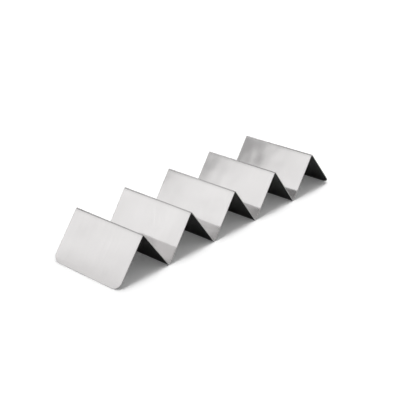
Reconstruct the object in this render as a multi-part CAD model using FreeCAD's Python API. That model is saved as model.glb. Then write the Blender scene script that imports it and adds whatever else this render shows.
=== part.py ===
"""A taco holder folded from one strip of thin stainless steel, in millimetres.

The strip zigzags along X: each pair of legs leans together into a ridge, and the troughs between the
ridges each hold a taco. The ridges and folds run along Y, and the holder stands on its lower folds and
on the edges of its two free legs. The origin is at the middle of the footprint, on the table.
"""
import FreeCAD
import Part
import math
import os

# Driving sizes of the strip
SHEET_WIDTH = 101.6        # along the ridges
SHEET_THICKNESS = 0.8
CORNER_RADIUS = 9.5        # of the four corners of the free legs, seen square to the leg
EDGE_BREAK = 0.15          # chamfer that takes the sharpness off every cut edge

# Driving sizes of the folds
RIDGE_COUNT = 5
RIDGE_PITCH = 70.0         # from one ridge to the next
OVERALL_HEIGHT = 48.1      # from the table to the top of a ridge
FOLD_INNER_RADIUS = 0.8    # on the closing side of every fold
FREE_LEG_REACH = 37.4      # from the middle of an outer ridge to the line its free leg stands on

# Sizes that follow
FOLD_OUTER_RADIUS = FOLD_INNER_RADIUS + SHEET_THICKNESS
RIDGE_AXIS_HEIGHT = OVERALL_HEIGHT - FOLD_OUTER_RADIUS
VALLEY_AXIS_HEIGHT = FOLD_OUTER_RADIUS

UP = FreeCAD.Vector(0, 0, 1)
SHARP_ANGLE = math.radians(45)     # two faces that meet at more than this have a sharp edge


def ridge_axes():
    """The centre of every ridge's fold, from the front free leg to the back one."""
    first = -(RIDGE_COUNT - 1) / 2 * RIDGE_PITCH
    return [FreeCAD.Vector(first + i * RIDGE_PITCH, 0, RIDGE_AXIS_HEIGHT) for i in range(RIDGE_COUNT)]


def valley_axes():
    """The centre of every lower fold, one between each two ridges."""
    return [FreeCAD.Vector(ridge.x + RIDGE_PITCH / 2, 0, VALLEY_AXIS_HEIGHT) for ridge in ridge_axes()[:-1]]


def foot(ridge, side):
    """The point that a free leg stands on; side is -1 in front and 1 at the back.

    It is the lower edge of the leg's cut face, an edge break away from the leg's underside.
    """
    return FreeCAD.Vector(ridge.x + side * FREE_LEG_REACH, 0, 0)


def leg_normal(ridge, low, offset):
    """The upward normal of the straight leg between a ridge and the fold or foot below it.

    The leg's underside touches the inside of the ridge and passes offset below the point low: it is the
    common tangent of a circle about each of the two, one on either side of the line between them.
    """
    down = low - ridge
    lean = math.acos((FOLD_INNER_RADIUS + offset) / down.Length)
    turn = lean if down.x > 0 else -lean
    direction = down.normalize()
    return FreeCAD.Vector(
        direction.x * math.cos(turn) - direction.z * math.sin(turn),
        0,
        direction.x * math.sin(turn) + direction.z * math.cos(turn),
    )


def legs():
    """Each ridge with the upward normals of its front and back leg."""
    ridges, valleys = ridge_axes(), valley_axes()
    made = []
    for i, ridge in enumerate(ridges):
        if i == 0:
            front = leg_normal(ridge, foot(ridge, -1), EDGE_BREAK)
        else:
            front = leg_normal(ridge, valleys[i - 1], FOLD_OUTER_RADIUS)
        if i == RIDGE_COUNT - 1:
            back = leg_normal(ridge, foot(ridge, 1), EDGE_BREAK)
        else:
            back = leg_normal(ridge, valleys[i], FOLD_OUTER_RADIUS)
        made.append((ridge, front, back))
    return made


def surface_line(height):
    """The edges of the folded strip's section, height above its underside, from front to back."""
    folded = legs()
    valleys = valley_axes()
    ridge_radius = FOLD_INNER_RADIUS + height
    valley_radius = FOLD_OUTER_RADIUS - height
    first_ridge, first_normal, _ = folded[0]
    last_ridge, _, last_normal = folded[-1]
    at = foot(first_ridge, -1) + first_normal * (height - EDGE_BREAK)
    edges = []
    for i, (ridge, front, back) in enumerate(folded):
        if i > 0:
            valley, before = valleys[i - 1], folded[i - 1][2]
            start, lowest, end = (valley - direction * valley_radius for direction in (before, UP, front))
            edges += [Part.LineSegment(at, start), Part.Arc(start, lowest, end)]
            at = end
        start, top, end = (ridge + direction * ridge_radius for direction in (front, UP, back))
        edges += [Part.LineSegment(at, start), Part.Arc(start, top, end)]
        at = end
    edges += [Part.LineSegment(at, foot(last_ridge, 1) + last_normal * (height - EDGE_BREAK))]
    return [edge.toShape() for edge in edges]


def section():
    """The face between the underside and the upper side of the folded strip."""
    under = surface_line(0)
    upper = surface_line(SHEET_THICKNESS)
    cut_faces = [
        Part.LineSegment(under[i].Vertexes[i].Point, upper[i].Vertexes[i].Point).toShape() for i in (0, -1)
    ]
    return Part.Face(Part.Wire(Part.__sortEdges__(under + upper + cut_faces)))


def corner_edges(solid):
    """The four short edges at the corners of the free legs, which run through the sheet's thickness."""
    half_length = solid.BoundBox.XMax
    reach = half_length - 2 * SHEET_THICKNESS
    return [
        edge for edge in solid.Edges
        if abs(edge.Length - SHEET_THICKNESS) < SHEET_THICKNESS / 100 and abs(edge.CenterOfMass.x) > reach
    ]


def sharp_edges(solid):
    """The edges whose two faces meet at an angle: the whole outline of the sheet, on both of its sides."""
    found = []
    for edge in solid.Edges:
        point = edge.valueAt((edge.FirstParameter + edge.LastParameter) / 2)
        normals = []
        for face in solid.ancestorsOfType(edge, Part.Face):
            u, v = face.Surface.parameter(point)
            normals.append(face.normalAt(u, v))
        if len(normals) == 2 and normals[0].getAngle(normals[1]) > SHARP_ANGLE:
            found.append(edge)
    return found


def folded_sheet():
    """The strip, folded, with the corners of its free legs rounded and every cut edge broken."""
    profile = section()
    profile.translate(FreeCAD.Vector(0, -SHEET_WIDTH / 2, 0))
    sheet = profile.extrude(FreeCAD.Vector(0, SHEET_WIDTH, 0))
    sheet = sheet.makeFillet(CORNER_RADIUS, corner_edges(sheet))
    return sheet.makeChamfer(EDGE_BREAK, sharp_edges(sheet)).Solids[0]


os.makedirs("parts", exist_ok=True)
holder = folded_sheet()
holder.exportStep("parts/folded_sheet.step")
box = holder.optimalBoundingBox(False)
print(f"folded_sheet: {box.XLength:.2f} x {box.YLength:.2f} x {box.ZLength:.2f} mm from z {box.ZMin:.3f},")
print(f"  {holder.Volume / 1000:.2f} cm3, {len(holder.Faces)} faces, valid {holder.isValid()}")
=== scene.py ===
# %% [markdown]
# # A taco holder, folded from one strip of stainless steel
#
# The real holder is a single strip of thin brushed stainless steel. A press brake folds it nine times, up
# and down in turn, into five ridges with a trough between each two, and each trough holds one taco.
# The exact CAD model is loaded first, as a fixed frame that is never moved. Everything here is in metres
# and in the frame of that model: X runs along the strip, Y along the folds, and the table is at height 0.
# Its box is kept, so that the strip we make can be compared with it at the end.

# %% Load the CAD model
import bmesh
import bpy
import math
from mathutils import Matrix, Vector
from mathutils.bvhtree import BVHTree


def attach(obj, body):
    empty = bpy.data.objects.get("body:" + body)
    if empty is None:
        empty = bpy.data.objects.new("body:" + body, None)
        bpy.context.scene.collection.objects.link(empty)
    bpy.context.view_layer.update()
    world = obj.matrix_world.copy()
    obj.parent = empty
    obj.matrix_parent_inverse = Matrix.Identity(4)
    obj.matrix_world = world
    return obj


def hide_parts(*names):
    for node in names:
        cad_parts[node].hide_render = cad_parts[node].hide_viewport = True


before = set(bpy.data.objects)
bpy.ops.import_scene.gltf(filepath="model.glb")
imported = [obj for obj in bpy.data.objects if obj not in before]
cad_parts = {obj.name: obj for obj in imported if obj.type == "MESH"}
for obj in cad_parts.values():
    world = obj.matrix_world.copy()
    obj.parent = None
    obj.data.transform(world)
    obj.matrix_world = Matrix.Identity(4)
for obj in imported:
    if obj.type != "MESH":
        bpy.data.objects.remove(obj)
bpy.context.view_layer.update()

MM = 0.001

# %% [markdown]
# ## The sizes of the strip
#
# A folded part is best described by few sizes: the sheet's width and thickness, how far apart and how high
# its ridges are, and the radius of the press brake's nose, which is the inside radius of each fold.
# All other lengths follow from them. They are the same values as in the CAD source.

# %% Driving sizes
SHEET_WIDTH = 101.6 * MM
SHEET_THICKNESS = 0.8 * MM
CORNER_RADIUS = 9.5 * MM
EDGE_BREAK = 0.15 * MM
RIDGE_COUNT = 5
RIDGE_PITCH = 70.0 * MM
OVERALL_HEIGHT = 48.1 * MM
FOLD_INNER_RADIUS = 0.8 * MM
FREE_LEG_REACH = 37.4 * MM

# %% [markdown]
# A sheet keeps its length only along the line halfway through its thickness: in a fold, the inside is
# squeezed and the outside is stretched. So every length of the flat blank is worked out on that line.
# Between a ridge and a trough it is the straight line that touches two equal circles, one at each end.

# %% Legs between a ridge and a trough
MIDDLE_RADIUS = FOLD_INNER_RADIUS + SHEET_THICKNESS / 2
trough_axis_height = FOLD_INNER_RADIUS + SHEET_THICKNESS
ridge_axis_height = OVERALL_HEIGHT - trough_axis_height
axis_run = RIDGE_PITCH / 2
axis_drop = ridge_axis_height - trough_axis_height
axis_distance = math.hypot(axis_run, axis_drop)
leg_slope = math.atan2(axis_drop, axis_run) + math.asin(2 * MIDDLE_RADIUS / axis_distance)
leg_length = math.sqrt(axis_distance ** 2 - (2 * MIDDLE_RADIUS) ** 2)
print(f"leg: {leg_length / MM:.2f} mm at {math.degrees(leg_slope):.2f} degrees")

# %% Free legs, which stand on the lower edge of their cut face
foot_distance = math.hypot(FREE_LEG_REACH, ridge_axis_height)
foot_offset = FOLD_INNER_RADIUS + EDGE_BREAK
free_slope = math.atan2(ridge_axis_height, FREE_LEG_REACH) + math.asin(foot_offset / foot_distance)
free_length = math.sqrt(foot_distance ** 2 - foot_offset ** 2)
# A rounded edge is fuller than the CAD's flat one, so the leg is this much shorter to stand on the table.
free_length -= EDGE_BREAK * (1 / math.sin(free_slope) - 1)
print(f"free leg: {free_length / MM:.2f} mm at {math.degrees(free_slope):.2f} degrees")

# %% The plan of the nine folds along the blank
FOLD_COUNT = 2 * RIDGE_COUNT - 1
UP, DOWN = 1, -1
plan = []
reached = free_length
for number in range(FOLD_COUNT):
    outermost = number in (0, FOLD_COUNT - 1)
    turn = leg_slope + (free_slope if outermost else leg_slope)
    plan.append((reached, turn, DOWN if number % 2 == 0 else UP))
    reached += MIDDLE_RADIUS * turn + leg_length
blank_length = reached - leg_length + free_length
fold_spacing = leg_length + MIDDLE_RADIUS * 2 * leg_slope
print(f"flat blank: {blank_length / MM:.2f} x {SHEET_WIDTH / MM:.2f} mm")
print(f"{FOLD_COUNT} folds, {fold_spacing / MM:.2f} mm apart")

# %% [markdown]
# ## The camera
#
# The holder is seen from its front left corner, from a little above. The place and direction were found
# by laying the CAD model's ridges, folds and sides over their lines in the photograph. The lens is long,
# because the ridges hardly get smaller towards the back. Its three directions are the columns of the
# camera's matrix, which is the plainest way to give it a slight roll too.

# %% Camera
SENSOR_WIDTH = 36.0
LENS = 84.163
VIEW_PLACE = Vector((-0.706382, -0.664705, 0.463561))
VIEW_RIGHT = Vector((0.679027, -0.733766, -0.022586))
VIEW_UP = Vector((0.317543, 0.265836, 0.910219))
camera_data = bpy.data.cameras.new("camera")
camera_data.sensor_width = SENSOR_WIDTH
camera_data.lens = LENS
camera = bpy.data.objects.new("camera", camera_data)
camera.matrix_world = Matrix.Translation(VIEW_PLACE) @ Matrix(
    (VIEW_RIGHT, VIEW_UP, VIEW_RIGHT.cross(VIEW_UP))
).transposed().to_4x4()
bpy.context.scene.collection.objects.link(camera)
bpy.context.scene.camera = camera
print(f"camera {VIEW_PLACE.length:.3f} m from the holder's middle, {LENS:.1f} mm lens")

# %% [markdown]
# ## A flat blank, cut and deburred
#
# A laser or a punch cuts the blank from sheet, with four rounded corners that become the feet of the free
# legs, and its sharp edges are then broken in a deburring machine. All of that is easiest on the flat
# blank, so we do the same: one rectangle, its corners bevelled, extruded to the sheet's thickness, and
# its rims bevelled with a very small radius, which is what lets them catch a thin line of light.

# %% Cut the blank
CORNER_SEGMENTS = 18
blank = bmesh.new()
bmesh.ops.create_grid(blank, x_segments=1, y_segments=1, size=0.5)
bmesh.ops.scale(blank, verts=blank.verts, vec=(blank_length, SHEET_WIDTH, 1))
bmesh.ops.translate(blank, verts=blank.verts, vec=(blank_length / 2, 0, 0))
bmesh.ops.bevel(
    blank, geom=blank.verts[:], offset=CORNER_RADIUS, offset_type="OFFSET",
    segments=CORNER_SEGMENTS, profile=0.5, affect="VERTICES", material=-1,
)
extruded = bmesh.ops.extrude_face_region(blank, geom=blank.faces[:])
upper = [part for part in extruded["geom"] if isinstance(part, bmesh.types.BMVert)]
bmesh.ops.translate(blank, verts=upper, vec=(0, 0, SHEET_THICKNESS))
bmesh.ops.recalc_face_normals(blank, faces=blank.faces)
print(f"cut blank: {len(blank.faces)} faces, {blank.calc_volume() / MM ** 3 / 1000:.2f} cm3")

# %% Break its edges
RIM_SEGMENTS = 3
rims = [edge for edge in blank.edges if abs(edge.verts[0].co.z - edge.verts[1].co.z) < EDGE_BREAK]
bmesh.ops.bevel(
    blank, geom=rims, offset=EDGE_BREAK, offset_type="OFFSET",
    segments=RIM_SEGMENTS, profile=0.5, affect="EDGES", material=-1,
)
print(f"{len(rims)} rim edges rounded, now {len(blank.faces)} faces")

# %% [markdown]
# The press brake bends metal only in a narrow zone. There the mesh needs enough rows of faces to follow
# the curve, and elsewhere none: a plane cuts the blank at each row.

# %% Cut rows where the folds will be
ROWS_PER_FOLD = 12
SAME_PLACE = MM / 10000
for start, turn, _ in plan:
    for row in range(ROWS_PER_FOLD + 1):
        line = start + MIDDLE_RADIUS * turn * row / ROWS_PER_FOLD
        everything = blank.verts[:] + blank.edges[:] + blank.faces[:]
        bmesh.ops.bisect_plane(
            blank, geom=everything, dist=SAME_PLACE, plane_co=(line, 0, 0), plane_no=(1, 0, 0)
        )
print(f"with rows for {FOLD_COUNT} folds: {len(blank.faces)} faces")

# %% [markdown]
# Before it is folded, the blank is also the best place to say what every face is, and to draw its UV map.
# The map is simply the flat sheet in metres, with U across the strip and V along it from its middle, so
# grain and wear have their real size. The thin faces of the rim stand upright, and would have no
# width on such a map, so each point is moved outwards by its depth below the upper side.

# %% Name the faces and lay out the UV map
BRUSHED, UNDERSIDE, CUT_EDGE = 0, 1, 2
FLAT_FACE = 0.99
flat_map = blank.loops.layers.uv.new("flat_sheet")
blank.normal_update()
for face in blank.faces:
    face.smooth = True
    face.material_index = CUT_EDGE
    if face.normal.z > FLAT_FACE:
        face.material_index = BRUSHED
    elif face.normal.z < -FLAT_FACE:
        face.material_index = UNDERSIDE
    for loop in face.loops:
        point = loop.vert.co
        outwards = loop.vert.normal.to_2d().normalized() * (SHEET_THICKNESS - point.z)
        loop[flat_map].uv = (point.y + outwards.y, point.x - blank_length / 2 + outwards.x)
kinds = [face.material_index for face in blank.faces]
print(f"faces: {kinds.count(BRUSHED)} upper, {kinds.count(UNDERSIDE)} under, {kinds.count(CUT_EDGE)} rim")

# %% [markdown]
# ## Fold it
#
# In the press brake, all that lies beyond the fold swings up as one. Here each fold is made in small
# steps, from the far end inwards. A step takes everything beyond a row, pulls it back over that row, and
# turns it about the fold's axis. The rows then lie on an exact arc, and the legs stay flat.

# %% Fold the blank, the farthest fold first
place_on_blank = {vert: vert.co.x for vert in blank.verts}
for start, turn, sense in reversed(plan):
    step = turn / ROWS_PER_FOLD
    row_length = MIDDLE_RADIUS * step
    for row in reversed(range(ROWS_PER_FOLD)):
        line = start + row_length * row
        beyond = [vert for vert in blank.verts if place_on_blank[vert] > line + row_length / 2]
        axis = Vector((line, 0, SHEET_THICKNESS / 2 + sense * MIDDLE_RADIUS))
        swing = Matrix.Rotation(-sense * step, 3, "Y")
        bmesh.ops.translate(blank, verts=beyond, vec=(-row_length, 0, 0))
        bmesh.ops.rotate(blank, verts=beyond, cent=axis, matrix=swing)
first_ridge_axis = Vector((free_length, 0, SHEET_THICKNESS / 2 - MIDDLE_RADIUS))
print(f"folded {FOLD_COUNT} times, {ROWS_PER_FOLD} rows each")

# %% Stand it on the table
lean = Matrix.Rotation(-free_slope, 4, "Y")
first_ridge_place = Vector((-(RIDGE_COUNT - 1) / 2 * RIDGE_PITCH, 0, ridge_axis_height))
stand = Matrix.Translation(first_ridge_place - lean @ first_ridge_axis) @ lean
bmesh.ops.transform(blank, matrix=stand, verts=blank.verts)
bmesh.ops.recalc_face_normals(blank, faces=blank.faces)
lowest = min(vert.co.z for vert in blank.verts)
print(f"lowest point {lowest / MM:.4f} mm, volume {blank.calc_volume() / MM ** 3 / 1000:.2f} cm3")

# %% Make it the piece that stands for the CAD solid
sheet_mesh = bpy.data.meshes.new("folded_strip")
blank.to_mesh(sheet_mesh)
blank.free()
strip = bpy.data.objects.new("folded_strip", sheet_mesh)
bpy.context.scene.collection.objects.link(strip)
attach(strip, "root")
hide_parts("folded_sheet")
print("piece:", strip.name)

# %% [markdown]
# Smooth shading would round the flat legs off where they meet the folds. The Weighted Normal modifier
# lets the largest face at each corner decide, so legs stay flat and folds and rims stay round.

# %% Keep the legs flat
LARGEST_FACE_DECIDES = 100
flat_legs = strip.modifiers.new("flat_legs", "WEIGHTED_NORMAL")
flat_legs.mode = "FACE_AREA"
flat_legs.weight = LARGEST_FACE_DECIDES
flat_legs.keep_sharp = True

# %% Measure it against the CAD solid
cad_shape = bmesh.new()
cad_shape.from_mesh(bpy.data.objects["folded_sheet"].data)
cad_tree = BVHTree.FromBMesh(cad_shape)
cad_shape.free()
gaps = [cad_tree.find_nearest(vert.co)[3] for vert in sheet_mesh.vertices]
print(f"farthest from the CAD solid: {max(gaps) / MM:.3f} mm, {len(sheet_mesh.polygons)} faces")

# %% [markdown]
# ## Nodes in short words
#
# A material is a tree of nodes, and a few small helpers keep it readable. The first adds a node with its
# values and links. The others are for what comes back again and again: a sum, a smooth step, a blend of
# two colours, soft noise, and the start of a node group with named inputs and outputs.

# %% Helper: add a node
def add_node(tree, kind, inputs, **settings):
    """Adds one node. An input is given as a value, or as the socket that feeds it."""
    node = tree.nodes.new(kind)
    for name, value in settings.items():
        setattr(node, name, value)
    for name, value in inputs.items():
        if isinstance(value, bpy.types.NodeSocket):
            tree.links.new(value, node.inputs[name])
        else:
            node.inputs[name].default_value = value
    return node

# %% Helpers: sums and smooth steps
def work_out(tree, operation, *values):
    """A Math node on one to three values, and the socket with its answer."""
    return add_node(tree, "ShaderNodeMath", dict(enumerate(values)), operation=operation).outputs[0]


def spread(tree, value, low, high, to_low=0.0, to_high=1.0):
    """Takes the values from low to high smoothly over to new ones."""
    limits = {"Value": value, "From Min": low, "From Max": high, "To Min": to_low, "To Max": to_high}
    node = add_node(tree, "ShaderNodeMapRange", limits, interpolation_type="SMOOTHSTEP")
    return node.outputs["Result"]


def near(tree, distance, full, gone):
    """A mask that is 1 up to the distance full and fades to 0 at the distance gone."""
    return spread(tree, distance, full, gone, 1.0, 0.0)

# %% Helpers: greys, and a blend of two colours
COLOUR_A, COLOUR_B, COLOUR_RESULT = 6, 7, 2     # the Mix node's sockets for colours have these numbers


def grey(tone):
    """A colour without a tint, from black at 0 to white at 1."""
    return (tone, tone, tone, 1)


def blend(tree, amount, first, second):
    """A colour between two others, each given as a colour or as a socket."""
    sockets = {"Factor": amount, COLOUR_A: first, COLOUR_B: second}
    return add_node(tree, "ShaderNodeMix", sockets, data_type="RGBA").outputs[COLOUR_RESULT]

# %% Helpers: soft noise on the flat map
def soft_noise(tree, place, scale, detail, roughness=0.5, distortion=0.0):
    """Noise that swings about a half."""
    values = {
        "Vector": place, "Scale": scale, "Detail": detail, "Roughness": roughness, "Distortion": distortion,
    }
    return add_node(tree, "ShaderNodeTexNoise", values, noise_dimensions="2D").outputs["Fac"]


def stretch(tree, place, width, length):
    """The place counted in marks that are this wide across the strip and this long along it."""
    mark = add_node(tree, "ShaderNodeCombineXYZ", {"X": width, "Y": length, "Z": 1.0}).outputs["Vector"]
    return add_node(tree, "ShaderNodeVectorMath", {0: place, 1: mark}, operation="DIVIDE").outputs["Vector"]


def move(tree, place, by):
    """The same place, moved to another part of a pattern that has no end."""
    return add_node(tree, "ShaderNodeVectorMath", {0: place, 1: by}, operation="ADD").outputs["Vector"]

# %% Helper: start a node group
def start_group(name, inputs, outputs):
    """A node group. Each input has a default value, or None where it is a place."""
    group = bpy.data.node_groups.new(name, "ShaderNodeTree")
    for label, value in inputs.items():
        kind = "NodeSocketVector" if value is None else "NodeSocketFloat"
        socket = group.interface.new_socket(label, in_out="INPUT", socket_type=kind)
        if value is not None:
            socket.default_value = value
    for label in outputs:
        group.interface.new_socket(label, in_out="OUTPUT", socket_type="NodeSocketFloat")
    return group, group.nodes.new("NodeGroupInput").outputs, group.nodes.new("NodeGroupOutput").inputs

# %% [markdown]
# ## The brushed grain
#
# An abrasive belt ran along the coil before the strip was cut, so fine lines run along the whole strip,
# over the ridges and down every leg. One line is a tenth or two of a millimetre wide and some centimetres
# long. Over them lie broad, faint streaks where the belt pressed more or less. Both are noise
# that is stretched along V: the same group makes them for each side of the sheet.

# %% Group: brushed grain
STREAK_STRETCH = 3.0
grain, given, made = start_group(
    "brushed grain",
    {"Place": None, "Line Width": 0.2 * MM, "Line Length": 30 * MM, "Streak Width": 6 * MM},
    ["Lines", "Streaks"],
)
streak_length = work_out(grain, "MULTIPLY", given["Line Length"], STREAK_STRETCH)
line_place = stretch(grain, given["Place"], given["Line Width"], given["Line Length"])
streak_place = stretch(grain, given["Place"], given["Streak Width"], streak_length)
lines = soft_noise(grain, line_place, scale=1.0, detail=3.0, roughness=0.6)
streaks = soft_noise(grain, streak_place, scale=1.0, detail=4.0, roughness=0.65)
grain.links.new(lines, made["Lines"])
grain.links.new(streaks, made["Streaks"])
print("group:", grain.name, [socket.name for socket in grain.interface.items_tree])

# %% [markdown]
# ## Where the sheet was worked, and where shade and light are painted
#
# Some places on a folded sheet differ from the rest. The press brake's tools rub a band along each fold.
# Along the cut edges, the deburring brush runs over the grain. Towards the feet of the free legs, painted
# shade darkens the upper side, and towards the ridges, painted light brightens the underside. All of these
# are distances on the flat map. Folds lie one spacing apart, counted from the middle ridge, and every
# second one is a ridge. The outline is a rectangle with rounded corners.

# %% Group: distances to the nearest fold, to the nearest ridge and to the free ends
worked, given, made = start_group(
    "worked and shaded places",
    {"Place": None, "Fold Spacing": fold_spacing, "Half Width": SHEET_WIDTH / 2,
     "Half Length": blank_length / 2, "Corner Radius": CORNER_RADIUS},
    ["To Fold", "To Ridge", "To Outline", "To Foot"],
)
across_along = add_node(worked, "ShaderNodeSeparateXYZ", {"Vector": given["Place"]}).outputs
half_spacing = work_out(worked, "MULTIPLY", given["Fold Spacing"], 0.5)
to_fold = work_out(worked, "PINGPONG", across_along["Y"], half_spacing)
to_ridge = work_out(worked, "PINGPONG", across_along["Y"], given["Fold Spacing"])
from_middle_ridge = work_out(worked, "ABSOLUTE", across_along["Y"])
to_foot = work_out(worked, "SUBTRACT", given["Half Length"], from_middle_ridge)
worked.links.new(to_fold, made["To Fold"])
worked.links.new(to_ridge, made["To Ridge"])
worked.links.new(to_foot, made["To Foot"])

# %% The same group: distance to the rounded outline
beyond_corner = []
for axis_name, half_name in (("X", "Half Width"), ("Y", "Half Length")):
    from_middle = work_out(worked, "ABSOLUTE", across_along[axis_name])
    straight = work_out(worked, "SUBTRACT", given[half_name], given["Corner Radius"])
    beyond_corner.append(work_out(worked, "SUBTRACT", from_middle, straight))
outside = [work_out(worked, "MAXIMUM", value, 0.0) for value in beyond_corner]
squares = [work_out(worked, "MULTIPLY", value, value) for value in outside]
outer = work_out(worked, "SQRT", work_out(worked, "ADD", *squares))
inner = work_out(worked, "MINIMUM", work_out(worked, "MAXIMUM", *beyond_corner), 0.0)
past_corner_line = work_out(worked, "ADD", outer, inner)
to_outline = work_out(worked, "SUBTRACT", given["Corner Radius"], past_corner_line)
worked.links.new(to_outline, made["To Outline"])
print("group:", worked.name, [socket.name for socket in worked.interface.items_tree])

# %% [markdown]
# ## Signs of use
#
# A holder that has been on a table and in a dishwasher has cloudy smudges, and a few hairline scratches
# that don't follow the grain. Thin sheet is never quite flat either: it has slow waves, which bend all
# that it mirrors. Smudges and waves are large soft noise, from a part of the pattern that puts them about
# where the photograph has them. A scratch is what is left of a strongly stretched noise when only its
# highest crests are kept, turned by some angle and shown only in patches.

# %% Group: signs of use
SMUDGES_FROM = (7.85, 8.99, 0.0)
WAVES_FROM = (9.1, 9.6, 0.0)
use, given, made = start_group(
    "signs of use",
    {"Place": None, "Smudge Size": 70 * MM, "Wave Size": 30 * MM,
     "Scratch Width": 0.4 * MM, "Scratch Length": 30 * MM},
    ["Smudges", "Waves", "Scratches"],
)
smudge_place = move(use, given["Place"], SMUDGES_FROM)
smudge_scale = work_out(use, "DIVIDE", 1.0, given["Smudge Size"])
smudges = soft_noise(use, smudge_place, smudge_scale, detail=2.0, roughness=0.55, distortion=0.4)
wave_place = move(use, given["Place"], WAVES_FROM)
wave_scale = work_out(use, "DIVIDE", 1.0, given["Wave Size"])
waves = soft_noise(use, wave_place, wave_scale, detail=1.0)
use.links.new(smudges, made["Smudges"])
use.links.new(waves, made["Waves"])

# %% The same group: scratches
SCRATCH_TURN = math.radians(23)
CREST_SCALE = 0.35
CRESTS_KEPT = 0.70, 0.74
PATCH_SCALE = 25.0
PATCHES_KEPT = 0.50, 0.62
turned = add_node(
    use, "ShaderNodeVectorRotate", {"Vector": given["Place"], "Angle": SCRATCH_TURN}, rotation_type="Z_AXIS"
)
scratch_place = stretch(use, turned.outputs["Vector"], given["Scratch Width"], given["Scratch Length"])
crests = soft_noise(use, scratch_place, CREST_SCALE, detail=1.0, roughness=0.4)
patches = soft_noise(use, given["Place"], PATCH_SCALE, detail=1.0)
high_crests = spread(use, crests, *CRESTS_KEPT)
in_patches = spread(use, patches, *PATCHES_KEPT)
scratches = work_out(use, "MULTIPLY", high_crests, in_patches)
use.links.new(scratches, made["Scratches"])
print("group:", use.name, [socket.name for socket in use.interface.items_tree])

# %% [markdown]
# ## Three finishes of one metal
#
# The strip has one metal and three finishes: brushed above, as rolled below, and cut at the rim. All three
# read the same flat map through the same groups, so a fold or a smudge lies in the same place on both
# sides. What differs is how strongly each mark counts, and that is what the helper add_up says by name.

# %% Helper: a steel material with its groups
def start_steel(name):
    """A metal material, its tree and shader, and the sockets of all groups by the names of the marks."""
    material = bpy.data.materials.new(name)
    material.use_nodes = True
    tree = material.node_tree
    shader = tree.nodes["Principled BSDF"]
    shader.inputs["Metallic"].default_value = 1.0
    place = add_node(tree, "ShaderNodeUVMap", {}, uv_map="flat_sheet").outputs["UV"]
    marks = {}
    for group in (grain, worked, use):
        for socket in add_node(tree, "ShaderNodeGroup", {"Place": place}, node_tree=group).outputs:
            marks[socket.name.lower().replace(" ", "_")] = socket
    return material, tree, shader, marks

# %% Helpers: marks that add up, and relief
SWING_ABOUT_HALF = ("lines", "streaks", "smudges")


def add_up(tree, marks, start, **weights):
    """start plus each named mark times its weight. Noise counts from its middle, and a mask from 0."""
    total = start
    for name, weight in weights.items():
        mark = marks[name]
        if name in SWING_ABOUT_HALF:
            mark = work_out(tree, "SUBTRACT", mark, 0.5)
        total = work_out(tree, "MULTIPLY_ADD", mark, weight, total)
    return total


def press_in(tree, shader, relief, depth):
    """Bumps the surface by the relief, where a relief of 1 is this deep."""
    bump = add_node(tree, "ShaderNodeBump", {"Height": relief, "Distance": depth, "Strength": 1.0})
    tree.links.new(bump.outputs["Normal"], shader.inputs["Normal"])

# %% [markdown]
# ## The upper side: brushed stainless steel
#
# Stainless steel is a grey metal with a slightly warm tint. The colour gets a little darker in the bands
# along the folds, has painted shade towards the feet, and follows the grain, the streaks and the smudges
# elsewhere.

# %% Brushed steel: colour
STEEL_DARK, STEEL_LIGHT = (0.66, 0.645, 0.643, 1), (0.90, 0.885, 0.882, 1)
FOLD_BAND = 0.5 * MM, 4.5 * MM
# painted shade: the upper side darkens over the last 26 mm of each free leg, towards its foot
FOOT_SHADE_BAND = 0.0, 26 * MM
brushed, tree, shader, marks = start_steel("brushed_steel")
marks["near_fold"] = near(tree, marks["to_fold"], *FOLD_BAND)
marks["near_foot"] = near(tree, marks["to_foot"], *FOOT_SHADE_BAND)
shade = add_up(
    tree, marks, start=0.52, lines=0.25, streaks=0.18, smudges=0.75,
    near_fold=-0.20, near_foot=-0.50, scratches=0.10,
)
tree.links.new(blend(tree, shade, STEEL_DARK, STEEL_LIGHT), shader.inputs["Base Color"])
print("colour of", brushed.name)

# %% [markdown]
# Its brushed lines scatter light across themselves and hardly along: that is anisotropy. So a leg mirrors
# the edge of the next ridge sharply in the direction of the grain, and smears everything sideways. The
# Tangent node takes the direction in which it smears from U on the flat map. The grain is a few
# thousandths of a millimetre deep, and the sheet's slow waves are fifty times as high.

# %% Brushed steel: shine and relief
BRUSHED_ANISOTROPY = 0.8
OUTLINE_BAND = 0.0, 2.5 * MM
GRAIN_DEPTH = 0.004 * MM
WAVE_HEIGHT = 0.2 * MM
marks["near_outline"] = near(tree, marks["to_outline"], *OUTLINE_BAND)
rough = add_up(
    tree, marks, start=0.10, streaks=0.04, smudges=0.04, lines=0.03, near_fold=0.05, near_outline=0.05
)
tree.links.new(rough, shader.inputs["Roughness"])
shader.inputs["Anisotropic"].default_value = BRUSHED_ANISOTROPY
smear = add_node(tree, "ShaderNodeTangent", {}, direction_type="UV_MAP", uv_map="flat_sheet")
tree.links.new(smear.outputs["Tangent"], shader.inputs["Tangent"])
relief = add_up(tree, marks, start=0.5, lines=1.0, scratches=-0.8, waves=WAVE_HEIGHT / GRAIN_DEPTH)
press_in(tree, shader, relief, GRAIN_DEPTH)
print("shine and relief of", brushed.name)
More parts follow.
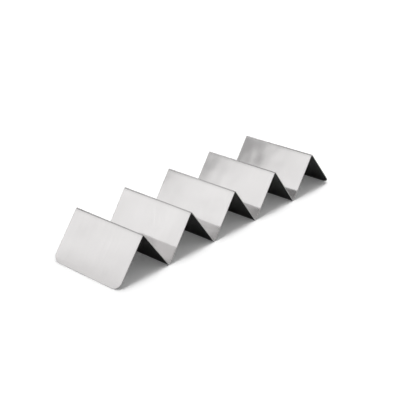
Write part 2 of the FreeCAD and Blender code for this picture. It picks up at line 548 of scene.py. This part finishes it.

# %% [markdown]
# ## The underside: rolled steel with painted shade
#
# Only the show side of such sheet is brushed. The other side keeps its rolled skin, which scatters light
# the same way in all directions, with a faint rolling grain. Its dark grey is painted shade, and it is
# brighter towards the ridges, which is painted light. A plain metal turns white when it is seen nearly edge
# on. Here Specular Tint, which sets that colour, is a dark grey, and that is painted shade too.

# %% Underside: rolled steel with painted shade
# painted shade: the underside's greys are far darker than the steel above them
UNDERSIDE_SHADE_DARK, UNDERSIDE_SHADE_LIGHT = (0.14, 0.142, 0.14, 1), (0.50, 0.505, 0.50, 1)
# painted shade: a dark edge-on colour, so that the underside stays dark at grazing angles
EDGE_ON_GREY = 0.4
# painted light: the underside is lighter within 55 mm of each ridge and darker towards the table
PAINTED_RIDGE_LIGHT_BAND = 0.0, 55 * MM
rolled_and_shaded, tree, shader, marks = start_steel("mill_steel")
marks["near_fold"] = near(tree, marks["to_fold"], *FOLD_BAND)
marks["near_ridge"] = near(tree, marks["to_ridge"], *PAINTED_RIDGE_LIGHT_BAND)
shade = add_up(
    tree, marks, start=0.16, lines=0.10, streaks=0.20, smudges=0.20, near_ridge=0.75, near_fold=-0.10
)
tree.links.new(blend(tree, shade, UNDERSIDE_SHADE_DARK, UNDERSIDE_SHADE_LIGHT), shader.inputs["Base Color"])
rough = add_up(tree, marks, start=0.15, streaks=0.08, smudges=0.08)
tree.links.new(rough, shader.inputs["Roughness"])
shader.inputs["Specular Tint"].default_value = grey(EDGE_ON_GREY)
press_in(tree, shader, add_up(tree, marks, start=0.5, lines=0.6, smudges=0.6), GRAIN_DEPTH)
print("finish:", rolled_and_shaded.name)

# %% [markdown]
# ## The cut edge
#
# A punch leaves a bright band in the upper part of a cut, and a duller band of broken metal below it. The
# deburring brush then rounds the corners. The flat map lays the rim outside its outline, deeper parts
# farther out. So the distance to the outline, which is negative there, tells the two bands apart.

# %% Cut edge
# painted shade: CUT_DARK and CUT_LIGHT are far darker than the steel, so that the rim shows no light line
CUT_DARK, CUT_LIGHT = (0.22, 0.218, 0.213, 1), (0.42, 0.416, 0.408, 1)
BROKEN_AT, BRIGHT_AT = -0.65 * MM, -0.15 * MM
CUT_MARK_DEPTH = 0.005 * MM
cut, tree, shader, marks = start_steel("cut_edge")
marks["bright_band"] = spread(tree, marks["to_outline"], BROKEN_AT, BRIGHT_AT)
shade = add_up(tree, marks, start=0.475, smudges=0.50, lines=0.30, bright_band=0.15)
tree.links.new(blend(tree, shade, CUT_DARK, CUT_LIGHT), shader.inputs["Base Color"])
rough = add_up(tree, marks, start=0.30, smudges=0.10, lines=0.08)
tree.links.new(rough, shader.inputs["Roughness"])
press_in(tree, shader, marks["lines"], CUT_MARK_DEPTH)
print("finish:", cut.name)

# %% Give the strip its three finishes
for material in (brushed, rolled_and_shaded, cut):
    strip.data.materials.append(material)
print("materials:", [material.name for material in strip.data.materials])

# %% [markdown]
# ## The studio
#
# The holder stands in a white studio. Its floor is lit at a plain level, at which even a pale floor
# renders grey. More light would make it white, but it would bleach the holder too. So the floor and the
# world are white only for what looks at them: the camera, and the reflections in the metal. For the light
# that they give to other things, they stay plain greys. That light is stronger from the holder's far end,
# where a white wall is close, than from its near end.

# %% White for the camera and for reflections
WHITE = grey(1)


def looked_at(tree):
    """1 where a ray comes from the camera or from a reflection, and 0 for the light on other things."""
    ray = tree.nodes.new("ShaderNodeLightPath").outputs
    seen = work_out(tree, "MAXIMUM", ray["Is Camera Ray"], ray["Is Glossy Ray"])
    return work_out(tree, "MAXIMUM", seen, ray["Is Transmission Ray"])

# %% The light of the surroundings
SKY_LIGHT = 0.41
SKY_LEAN = (0.95, -0.15, 0.0)
world = bpy.data.worlds.new("studio")
world.use_nodes = True
bpy.context.scene.world = world
tree = world.node_tree
backdrop = tree.nodes["Background"]
backdrop.inputs["Color"].default_value = WHITE
direction = add_node(tree, "ShaderNodeTexCoord", {}).outputs["Generated"]
towards = add_node(tree, "ShaderNodeVectorMath", {0: direction, 1: SKY_LEAN}, operation="DOT_PRODUCT")
sky_light = work_out(tree, "MULTIPLY_ADD", towards.outputs["Value"], SKY_LIGHT, SKY_LIGHT)
strength = add_node(tree, "ShaderNodeMix", {"Factor": looked_at(tree), "A": sky_light, "B": 1.0})
tree.links.new(strength.outputs["Result"], backdrop.inputs["Strength"])
print(f"surroundings give {SKY_LIGHT} of full light on average")

# %% Helper: a flat board of the studio
def make_board(name, width, height, turn, place):
    """A rectangle that starts level about the origin, is turned about X and then moved to its place."""
    shape = bmesh.new()
    bmesh.ops.create_grid(shape, x_segments=1, y_segments=1, size=0.5)
    bmesh.ops.scale(shape, verts=shape.verts, vec=(width, height, 1))
    bmesh.ops.rotate(shape, verts=shape.verts, cent=(0, 0, 0), matrix=Matrix.Rotation(turn, 3, "X"))
    bmesh.ops.translate(shape, verts=shape.verts, vec=place)
    mesh = bpy.data.meshes.new(name)
    shape.to_mesh(mesh)
    shape.free()
    board = bpy.data.objects.new(name, mesh)
    bpy.context.scene.collection.objects.link(board)
    return board

# %% Floor
FLOOR_SIZE = 12.0
FLOOR_GREY, FLOOR_SEEN_GREY = 0.8, 0.96
FLOOR_ROUGHNESS = 0.9
FLOOR_GLOW = 0.08
floor = make_board("floor", FLOOR_SIZE, FLOOR_SIZE, turn=0, place=(0, 0, 0))
paper = bpy.data.materials.new("white_paper")
paper.use_nodes = True
tree = paper.node_tree
shader = tree.nodes["Principled BSDF"]
shader.inputs["Roughness"].default_value = FLOOR_ROUGHNESS
shader.inputs["Specular IOR Level"].default_value = 0.0
floor_colour = blend(tree, looked_at(tree), grey(FLOOR_GREY), grey(FLOOR_SEEN_GREY))
tree.links.new(floor_colour, shader.inputs["Base Color"])
shader.inputs["Emission Color"].default_value = WHITE
ray = tree.nodes.new("ShaderNodeLightPath").outputs
glow = work_out(tree, "MULTIPLY", ray["Is Camera Ray"], FLOOR_GLOW)
tree.links.new(glow, shader.inputs["Emission Strength"])
floor.data.materials.append(paper)
print(f"floor {FLOOR_SIZE} m wide")

# %% [markdown]
# ## A row of soft lamps
#
# The shadow on the floor is soft along the strip and sharper across it, so the light is long and narrow:
# a row of lamps above the holder, from one end to the other, which is tipped and turned a little. Each
# lamp is a sun, because the real ones are far away, and its angle is how wide it looks. A lamp that leans
# gives less light and looks narrower. A single sun of strength pi, straight above, lights a level white
# surface just to white. All of these together give it the part LAMP_SHARE of that. The metal doesn't
# mirror the lamps, because it mirrors the studio, which is as white as they would be.

# %% Lamps
LAMP_SHARE = 0.65
LAMP_WIDTH = 0.38
LAMP_LEANS = [math.radians(degrees) for degrees in (-60, -40, -20, 0, 20, 40, 60)]
LAMP_TIP = math.radians(-2.1)
LAMP_TURN = math.radians(5)
FULL_SUN = math.pi
whole = sum(math.cos(lean) ** 2 for lean in LAMP_LEANS)
for number, lean in enumerate(LAMP_LEANS, 1):
    lamp_data = bpy.data.lights.new(f"lamp_{number}", "SUN")
    lamp_data.energy = FULL_SUN * LAMP_SHARE * math.cos(lean) / whole
    lamp_data.angle = LAMP_WIDTH * math.cos(lean)
    lamp = bpy.data.objects.new(f"lamp_{number}", lamp_data)
    lamp.rotation_euler = (LAMP_TIP, lean, LAMP_TURN)
    lamp.visible_glossy = False
    bpy.context.scene.collection.objects.link(lamp)
print(f"{len(LAMP_LEANS)} lamps give {LAMP_SHARE} of full light")

# %% [markdown]
# ## A card for the metal to mirror
#
# Shiny metal looks like what stands around it, so studios put grey cards there. This one stands behind the
# holder, and only reflections see it. The flat panels mirror what is to the left of it, except the last
# two, whose left parts mirror its soft edge in grey. The round ridges mirror it at heights from about half
# a metre to a metre. Its white band and the dark part above that give each ridge a thin light line and a
# darker line beside it.

# %% Grey card: its shape
CARD_WIDTH, CARD_HEIGHT = 2.12, 1.48
CARD_PLACE = (0.34, 0.745, 0.76)
card = make_board("grey_card", CARD_WIDTH, CARD_HEIGHT, turn=math.radians(90), place=CARD_PLACE)
card.visible_camera = False
card.visible_diffuse = False
card.visible_shadow = False
print(f"card {CARD_WIDTH} m wide, {CARD_PLACE[1]} m behind the holder's middle")

# %% Grey card: its tones by height, and its soft left edge
CARD_TONES = {0.78: 0.335, 0.88: 1.0, 0.94: 1.0, 1.02: 0.53, 1.08: 0.09}
RAMP_HEIGHT = 2.0
CARD_EDGE = -0.608, -0.575
grey_paint = bpy.data.materials.new("grey_paint")
grey_paint.use_nodes = True
tree = grey_paint.node_tree
place = add_node(tree, "ShaderNodeTexCoord", {}).outputs["Object"]
place = add_node(tree, "ShaderNodeSeparateXYZ", {"Vector": place}).outputs
tones = add_node(tree, "ShaderNodeValToRGB", {"Fac": work_out(tree, "DIVIDE", place["Z"], RAMP_HEIGHT)})
for height in list(CARD_TONES)[1:-1]:
    tones.color_ramp.elements.new(height / RAMP_HEIGHT)
for element, (height, tone) in zip(tones.color_ramp.elements, CARD_TONES.items()):
    element.position = height / RAMP_HEIGHT
    element.color = grey(tone)
on_card = spread(tree, place["X"], *CARD_EDGE)
card_colour = blend(tree, on_card, WHITE, tones.outputs["Color"])
glow = add_node(tree, "ShaderNodeEmission", {"Color": card_colour, "Strength": 1.0})
tree.links.new(glow.outputs["Emission"], tree.nodes["Material Output"].inputs["Surface"])
card.data.materials.append(grey_paint)
print("tones of the card:", len(tones.color_ramp.elements))

# %% Show colours plainly
bpy.context.scene.view_settings.view_transform = "Standard"
